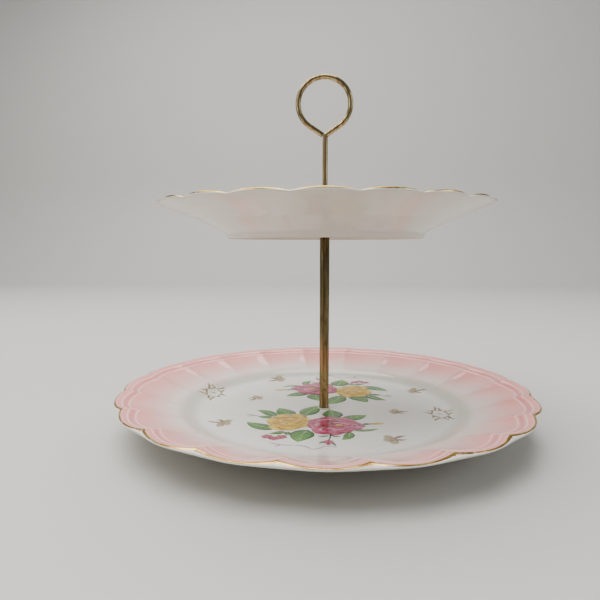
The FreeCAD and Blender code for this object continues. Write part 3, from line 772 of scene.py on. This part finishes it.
def eased(corners, ease):
    """A closed section with each corner rounded off by a small amount."""
    points = []
    for n, corner in enumerate(corners):
        corner = Vector(corner)
        before, after = corners[n - 1], corners[(n + 1) % len(corners)]
        for other, shares in ((before, (1.0, 0.42)), (after, (0.42, 1.0))):
            way = Vector(other) - corner
            step = min(ease, way.length * 0.45)
            points += [corner + way.normalized() * step * share for share in shares]
    return points


def turned_piece(name, node, body, section, finish, across=0.0, steps=72):
    """Spins a closed section of (radius, height) points, in millimetres, about an upright axis."""
    shape = bmesh.new()
    loop = [shape.verts.new((r * MM, 0, z * MM)) for r, z in section]
    edges = [shape.edges.new((loop[n - 1], loop[n])) for n in range(len(loop))]
    bmesh.ops.spin(shape, geom=loop + edges, cent=(0, 0, 0), axis=(0, 0, 1), angle=2 * math.pi,
                   steps=steps, use_merge=True)
    bmesh.ops.remove_doubles(shape, verts=shape.verts, dist=1e-7)
    bmesh.ops.translate(shape, verts=shape.verts, vec=(across * MM, 0, 0))
    bmesh.ops.recalc_face_normals(shape, faces=shape.faces)
    mesh = bpy.data.meshes.new(name)
    shape.to_mesh(mesh)
    shape.free()
    mesh.polygons.foreach_set("use_smooth", [True] * len(mesh.polygons))
    mesh.materials.append(finish)
    piece = bpy.data.objects.new(name, mesh)
    bpy.context.scene.collection.objects.link(piece)
    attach(piece, body)
    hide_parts(node)


def washer_section(node, bore, ease):
    """The section of a flat washer, sized by its CAD node."""
    low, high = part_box(node)
    outer = (high.x - low.x) / 2 / MM
    bottom, top = low.z / MM, high.z / MM
    return eased([(bore, bottom), (outer, bottom), (outer, top), (bore, top)], ease)


tube_brass = brass_finish("tube_brass", linear(150, 132, 90), linear(96, 83, 54), 1.0, 0.1,
                          darkens=(34.0, 60.0))
low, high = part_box("centre_tube")
bottom, top, tube, bore = low.z / MM, high.z / MM, high.x / MM, 2.4
tube_section = [(bore, bottom), (tube + 0.05, bottom), (tube + 0.22, bottom + 0.25),
                (tube + 0.2, bottom + 0.8), (tube, bottom + 1.15), (tube, bottom + 20), (tube, top - 20),
                (tube, top - 0.5), (tube - 0.12, top - 0.12), (tube - 0.3, top), (bore, top)]
turned_piece("brass_tube", "centre_tube", "column", tube_section, tube_brass, steps=96)

turned_brass = brass_finish("turned_brass", linear(190, 164, 110), linear(134, 110, 66), 0.6, 0.05)
plated = satin_finish("dulled_plating", linear(128, 112, 78), linear(72, 62, 40), 500.0, 0.25, 0.5, 1.0)
nylon = satin_finish("clear_nylon", linear(226, 224, 212), linear(200, 196, 178), 300.0, 0.3, 0.5)
pad_plastic = satin_finish("soft_washer", linear(236, 233, 224), linear(212, 206, 190), 260.0, 0.45, 0.7)
steel = satin_finish("screw_plating", linear(190, 188, 182), linear(140, 136, 128), 420.0, 0.25, 0.45, 1.0)
# the metal washer under the upper plate has slipped to one side
slipped = -1.2
for name, node, body, slot, inside, ease, finish, shift in (
        ("foot_washer", "tube_foot_washer", "column", "clear_nylon", 2.1, 0.12, nylon, 0.0),
        ("top_washer", "tube_top_washer", "column", "plated_washer", 3.1, 0.25, plated, slipped),
        ("under_washer", "under_pad", "column", "clear_nylon", 2.1, 0.15, nylon, 0.0),
        ("screw_washer", "base_washer", "column", "plated_washer", 1.9, 0.2, plated, 0.0),
        ("base_soft_washer", "base_pad", "lower_tier", "white_pad", 2.1, 0.25, pad_plastic, 0.0),
        ("handle_soft_washer", "handle_pad", "handle_washers", "white_pad", 2.1, 0.25, pad_plastic, 0.0),
        ("handle_brass_washer", "handle_washer", "handle_washers", "turned_brass", 1.9, 0.25,
         turned_brass, 0.0)):
    turned_piece(name, node, body, washer_section(node, inside, ease), finish, shift)

# the threaded plugs in the tube and the screw under the plate keep their plain shapes
for node, finish in (("tube_top_insert", turned_brass), ("tube_bottom_insert", turned_brass),
                     ("base_screw", steel)):
    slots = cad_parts[node].data.materials
    slots.clear()
    slots.append(finish)

# ---------------------------------------------------------------------------- ring handle
# One length of brass wire. It screws into the top of the tube, rises through the upper plate, bends
# out to the right, goes once round as a finger ring and tucks its cut end against the neck.
low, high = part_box("ring_handle")
# radii of the wire, of the bend at the neck and of the ring, and the slopes of the ring's two legs
wire, neck, ring = 1.6, 3.0, 15.9
right_slope, left_slope = math.radians(34.0), math.radians(34.0)
centre = Vector((-0.6, 0, high.z / MM - wire - ring))
foot = low.z / MM
ring_start = centre + Vector((math.sin(right_slope), 0, -math.cos(right_slope))) * ring
ring_end = centre + Vector((-math.sin(left_slope), 0, -math.cos(left_slope))) * ring
corner = ring_start.z - ring_start.x * math.tan(right_slope)
half_turn = (math.pi / 2 - right_slope) / 2
reach = neck * math.tan(half_turn)
neck_middle = Vector((neck, 0, corner - reach))
last_way = Vector((math.cos(left_slope), 0, -math.sin(left_slope)))
tuck_gap = 0.1
last_length = (neck_middle - ring_end).dot(last_way) - neck - wire - tuck_gap

shape = bmesh.new()
chamfer = 0.4
bmesh.ops.create_circle(shape, cap_ends=True, segments=28, radius=wire - chamfer)
bmesh.ops.translate(shape, verts=shape.verts, vec=(0, 0, foot))
rim = shape.edges[:]


def drawn_on(rim, way, grow=0.0):
    """Draws the wire's open end on in a straight line."""
    made = bmesh.ops.extrude_edge_only(shape, edges=rim)["geom"]
    points = [v for v in made if isinstance(v, bmesh.types.BMVert)]
    bmesh.ops.translate(shape, verts=points, vec=way)
    if grow:
        for point in points:
            flat = Vector((point.co.x, point.co.y, 0))
            point.co += flat.normalized() * grow
    edges = [e for e in made if isinstance(e, bmesh.types.BMEdge)]
    return [e for e in edges if all(v in points for v in e.verts)]


def bent_on(rim, middle, axis, angle, steps):
    """Bends the wire's open end round a point."""
    points = list({v for e in rim for v in e.verts})
    made = bmesh.ops.spin(shape, geom=points + rim, cent=middle, axis=axis, angle=angle, steps=steps)
    return [e for e in made["geom_last"] if isinstance(e, bmesh.types.BMEdge)]


rim = drawn_on(rim, (0, 0, chamfer), chamfer)
for height in (8.0, 14.0, 30.0, 50.0, neck_middle.z - foot - chamfer):
    done = max(v.co.z for v in shape.verts)
    rim = drawn_on(rim, (0, 0, foot + chamfer + height - done))
rim = bent_on(rim, neck_middle, (0, 1, 0), 2 * half_turn, 12)
bend_end = Vector((reach * math.cos(right_slope), 0, corner + reach * math.sin(right_slope)))
rim = drawn_on(rim, ring_start - bend_end)
rim = bent_on(rim, centre, (0, -1, 0), 2 * math.pi - right_slope - left_slope, 110)
rim = drawn_on(rim, last_way * last_length)
bmesh.ops.contextual_create(shape, geom=rim)
bmesh.ops.bevel(shape, geom=rim, offset=0.15, offset_type="OFFSET", segments=2, profile=0.5,
                affect="EDGES", material=-1)
bmesh.ops.recalc_face_normals(shape, faces=shape.faces)
bmesh.ops.scale(shape, vec=(MM, MM, MM), verts=shape.verts)
handle_mesh = bpy.data.meshes.new("handle_wire")
shape.to_mesh(handle_mesh)
shape.free()
handle_mesh.polygons.foreach_set("use_smooth", [True] * len(handle_mesh.polygons))
wire_brass = brass_finish("wire_brass", linear(168, 150, 110), linear(112, 98, 66), 0.35, 0.015)
handle_mesh.materials.append(wire_brass)
handle = bpy.data.objects.new("handle_wire", handle_mesh)
bpy.context.scene.collection.objects.link(handle)
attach(handle, "handle")
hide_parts("ring_handle")

# a turned collar is fixed on the wire above the plate, with a fine groove round it
low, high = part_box("handle_collar")
bore, outer, bottom, top = 1.62, high.x / MM, low.z / MM, high.z / MM
collar = eased([(bore, bottom), (outer - 0.5, bottom), (outer, bottom + 0.5), (outer, bottom + 1.5),
                (outer - 0.35, bottom + 2.0), (outer, bottom + 2.5), (outer, top - 0.6), (outer - 0.7, top),
                (bore, top)], 0.15)
turned_piece("wire_collar", "handle_collar", "handle", collar, turned_brass)

# ---------------------------------------------------------------------------- camera, light and floor
# A pale paper sweep, one large soft light overhead and a little to the left, and weak fill from
# both sides. The paper runs level, turns up behind the stand and goes on as a wall.
floor_width, floor_front, floor_back, wall_height, turn_radius = 3.2, -1.3, 1.15, 1.8, 0.35
turn_steps = 16
sweep = bmesh.new()
left = -floor_width / 2
edge = [sweep.verts.new((left, floor_front, 0)), sweep.verts.new((left, floor_back, 0))]
for n in range(1, turn_steps + 1):
    turn = math.pi / 2 * n / turn_steps
    edge.append(sweep.verts.new((left, floor_back + turn_radius * math.sin(turn),
                                 turn_radius * (1 - math.cos(turn)))))
edge.append(sweep.verts.new((left, floor_back + turn_radius, wall_height)))
runs = [sweep.edges.new((edge[n], edge[n + 1])) for n in range(len(edge) - 1)]
pulled = bmesh.ops.extrude_edge_only(sweep, edges=runs)
bmesh.ops.translate(sweep, vec=(floor_width, 0, 0),
                    verts=[v for v in pulled["geom"] if isinstance(v, bmesh.types.BMVert)])
sweep_mesh = bpy.data.meshes.new("studio_sweep")
bmesh.ops.recalc_face_normals(sweep, faces=sweep.faces)
sweep.to_mesh(sweep_mesh)
sweep.free()
sweep_mesh.polygons.foreach_set("use_smooth", [True] * len(sweep_mesh.polygons))
backdrop = bpy.data.objects.new("studio_sweep", sweep_mesh)
bpy.context.scene.collection.objects.link(backdrop)
paper, _, _, bsdf = shader("sweep_paper")
bsdf.inputs["Base Color"].default_value = linear(196, 195, 191)
bsdf.inputs["Roughness"].default_value = 0.6
backdrop.data.materials.append(paper)


def soft_light(name, place, target, width, height, power, colour):
    """An area light that faces a point."""
    lamp = bpy.data.lights.new(name, "AREA")
    lamp.shape = "RECTANGLE"
    lamp.size = width
    lamp.size_y = height
    lamp.energy = power
    lamp.color = colour
    light = bpy.data.objects.new(name, lamp)
    light.location = place
    light.rotation_euler = (Vector(target) - Vector(place)).to_track_quat("-Z", "Y").to_euler()
    bpy.context.scene.collection.objects.link(light)


soft_light("overhead", (-0.3, 0.05, 1.3), (0, 0, 0.05), 1.9, 1.5, 44.0, (1.0, 0.98, 0.95))
soft_light("left_fill", (-1.3, -0.7, 0.6), (0, 0, 0.1), 0.9, 0.9, 6.0, (1.0, 0.96, 0.90))
soft_light("right_fill", (1.4, -0.4, 0.7), (0, 0, 0.1), 0.8, 0.8, 5.5, (0.90, 0.95, 1.0))
sky = bpy.data.worlds.new("studio")
sky.use_nodes = True
room = sky.node_tree.nodes["Background"].inputs
room["Color"].default_value = (0.86, 0.88, 0.90, 1)
room["Strength"].default_value = 0.34
bpy.context.scene.world = sky

look_down, look_left = 5.86, 2.67
lens = bpy.data.cameras.new("camera")
lens.sensor_width = 36.0
lens.lens = 31.62
camera = bpy.data.objects.new("camera", lens)
camera.location = (0.0, -0.3299, 0.1115)
camera.rotation_euler = (math.radians(90 - look_down), 0, math.radians(look_left))
bpy.context.scene.collection.objects.link(camera)
bpy.context.scene.camera = camera
